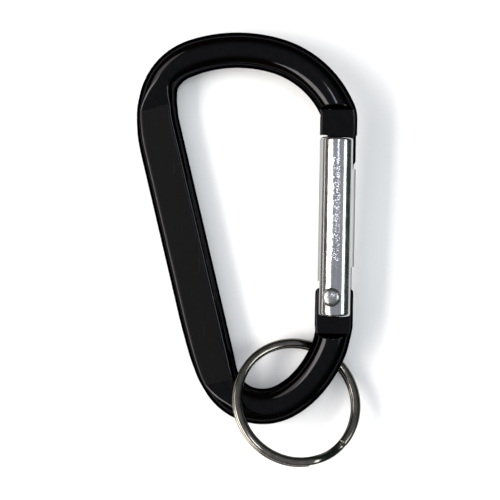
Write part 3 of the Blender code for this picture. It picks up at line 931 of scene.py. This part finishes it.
def aluminium_material():
    """Polished aluminium rod, with the faint lines of drawing along it and light handling marks."""
    line_grey = (0.43, 0.43, 0.44)
    bright_grey = (0.52, 0.52, 0.52)
    material, tree, shader, place = new_material("polished_aluminium_finish", (0.48, 0.48, 0.48), 1.0, 0.17)
    shader.inputs["Specular Tint"].default_value = (0.45, 0.45, 0.44, 1)
    drawn = noise_of(tree, stretched(tree, place, (9000, 90, 9000)), 1.0, 3)
    cloud = noise_of(tree, place, 500, 3)
    hairs = scratches(tree, place, 70, 3000, 0.72)
    colour = blended(tree, ranged(tree, drawn, 0.3, 0.7, 0, 1), line_grey, bright_grey)
    tree.links.new(colour, shader.inputs["Base Color"])
    rough_cloud = ranged(tree, cloud, 0.3, 0.7, 0.13, 0.2)
    rough = combined(tree, "ADD", rough_cloud, ranged(tree, hairs, 0, 1, 0, 0.12))
    tree.links.new(rough, shader.inputs["Roughness"])
    add_bump(tree, shader, combined(tree, "ADD", drawn, hairs), 0.004 * MM)
    return material


def steel_material(name, colour, roughness, grain):
    """Plain steel with a fine grain and darker spots."""
    material, tree, shader, place = new_material(name, colour, 1.0, roughness)
    cloud = noise_of(tree, place, grain * 0.4, 4)
    fine = noise_of(tree, place, grain * 4, 3)
    darker = tuple(channel * 0.7 for channel in colour)
    tinted = blended(tree, ranged(tree, cloud, 0.35, 0.7, 0, 1), colour, darker)
    tree.links.new(tinted, shader.inputs["Base Color"])
    rough = ranged(tree, fine, 0.3, 0.7, roughness * 0.75, roughness * 1.3)
    tree.links.new(rough, shader.inputs["Roughness"])
    add_bump(tree, shader, fine, 0.006 * MM)
    return material


def nickel_material():
    """Dark bright nickel, with fine rubbed marks and a slight warm cast."""
    dull_nickel = (0.15, 0.138, 0.122)
    bright_nickel = (0.23, 0.215, 0.19)
    material, tree, shader, place = new_material("dark_nickel_finish", (0.2, 0.185, 0.165), 1.0, 0.12)
    cloud = noise_of(tree, place, 700, 4)
    fine = noise_of(tree, place, 7000, 3)
    hairs = scratches(tree, place, 15, 4000, 0.69)
    colour = blended(tree, ranged(tree, cloud, 0.3, 0.7, 0, 1), dull_nickel, bright_nickel)
    tree.links.new(colour, shader.inputs["Base Color"])
    rough_cloud = ranged(tree, cloud, 0.3, 0.7, 0.09, 0.16)
    rough = combined(tree, "ADD", rough_cloud, ranged(tree, hairs, 0, 1, 0, 0.15))
    tree.links.new(rough, shader.inputs["Roughness"])
    add_bump(tree, shader, combined(tree, "ADD", fine, hairs), 0.005 * MM)
    return material


# ---------------------------------------------------------------- stage


def make_floor():
    """A plain pale sheet, large enough for low views."""
    mesh = bpy.data.meshes.new("floor_sheet")
    half = FLOOR_HALF_WIDTH
    corners = [(-half, -half, 0), (half, -half, 0), (half, half, 0), (-half, half, 0)]
    mesh.from_pydata(corners, [], [(0, 1, 2, 3)])
    floor = bpy.data.objects.new("floor_sheet", mesh)
    bpy.context.scene.collection.objects.link(floor)
    material, tree, shader, place = new_material("pale_floor_finish", (0.9, 0.9, 0.9), 0.0, 0.8)
    shader.inputs["Specular IOR Level"].default_value = 0.1
    grain = noise_of(tree, place, 1500, 2)
    colour = blended(tree, grain, (0.89, 0.89, 0.89), (0.92, 0.92, 0.92))
    tree.links.new(colour, shader.inputs["Base Color"])
    mesh.materials.append(material)


def add_softbox(name, x_span, y_span, radiance, colour=(1, 1, 1), in_reflections=True):
    """A flat box that faces down. Its spans are shares of its height, so they give directions in the sky."""
    light = bpy.data.lights.new(name, "AREA")
    light.shape = "RECTANGLE"
    light.size = (x_span[1] - x_span[0]) * SOFTBOX_HEIGHT
    light.size_y = (y_span[1] - y_span[0]) * SOFTBOX_HEIGHT
    light.energy = radiance * math.pi * light.size * light.size_y
    light.color = colour
    box = bpy.data.objects.new(name, light)
    bpy.context.scene.collection.objects.link(box)
    box.location = (sum(x_span) / 2 * SOFTBOX_HEIGHT, sum(y_span) / 2 * SOFTBOX_HEIGHT, SOFTBOX_HEIGHT)
    box.visible_camera = False
    box.visible_glossy = in_reflections
    return box


def make_lights():
    """Large boxes at the left and right, a thin strip nearly overhead, and a weak fill."""
    add_softbox("softbox_left", (-1.8, -0.8), (-1.3, 0.4), 11.0, WARM_WHITE)
    add_softbox("softbox_left_end", (-1.8, -0.8), (0.4, 1.1), 3.5, WARM_WHITE)
    add_softbox("softbox_right", (0.85, 1.25), (-0.4, 0.5), 6.0, (0.95, 1.0, 0.98))
    strip = add_softbox("strip_above", (0.02, 0.1), (0.03, 0.34), 14.0, (0.86, 0.88, 1.0))
    strip.rotation_euler.z = math.radians(-28)
    add_softbox("fill_above", (-1.5, 1.5), (-1.5, 1.5), 0.5, in_reflections=False)


def make_world():
    """A pale ceiling over dark walls, warm at the left and cool at the right."""
    warm_wall = (0.10, 0.065, 0.045)
    cool_wall = (0.035, 0.06, 0.055)
    ceiling = (0.42, 0.44, 0.48)
    world = bpy.data.worlds.new("studio")
    world.use_nodes = True
    bpy.context.scene.world = world
    background = world.node_tree.nodes["Background"]
    tree = world.node_tree
    direction = tree.nodes.new("ShaderNodeTexCoord").outputs["Generated"]
    split = tree.nodes.new("ShaderNodeSeparateXYZ")
    tree.links.new(direction, split.inputs["Vector"])
    height = ranged(tree, split.outputs["Z"], 0.5, 0.85, 0, 1)
    side = ranged(tree, split.outputs["X"], -0.6, 0.6, 0, 1)
    walls = blended(tree, side, warm_wall, cool_wall)
    colour = blended(tree, height, walls, ceiling)
    tree.links.new(colour, background.inputs["Color"])
    background.inputs["Strength"].default_value = 1.0


def make_camera():
    """Straight down over the object, turned a little about its own axis."""
    camera = bpy.data.cameras.new("camera")
    camera.lens = CAMERA_LENS
    camera.sensor_width = 36
    camera.clip_start = 0.01
    holder = bpy.data.objects.new("camera", camera)
    bpy.context.scene.collection.objects.link(holder)
    holder.location = (*CAMERA_PLACE, CAMERA_HEIGHT)
    holder.rotation_euler = (0, 0, CAMERA_ROLL)
    bpy.context.scene.camera = holder


bpy.context.scene.view_settings.view_transform = "Standard"
ANODISED = anodised_material()
ALUMINIUM = aluminium_material()
make_camera()
make_frame(ANODISED)
make_gate(ALUMINIUM)
make_crumpled_band(ALUMINIUM)
make_rivet(steel_material("rivet_steel_finish", (0.42, 0.42, 0.42), 0.28, 1500))
make_plunger(steel_material("plunger_steel_finish", (0.5, 0.5, 0.52), 0.28, 1500))
make_spring(steel_material("spring_steel_finish", (0.36, 0.36, 0.38), 0.32, 3000))
make_key_ring(nickel_material())
make_floor()
make_lights()
make_world()
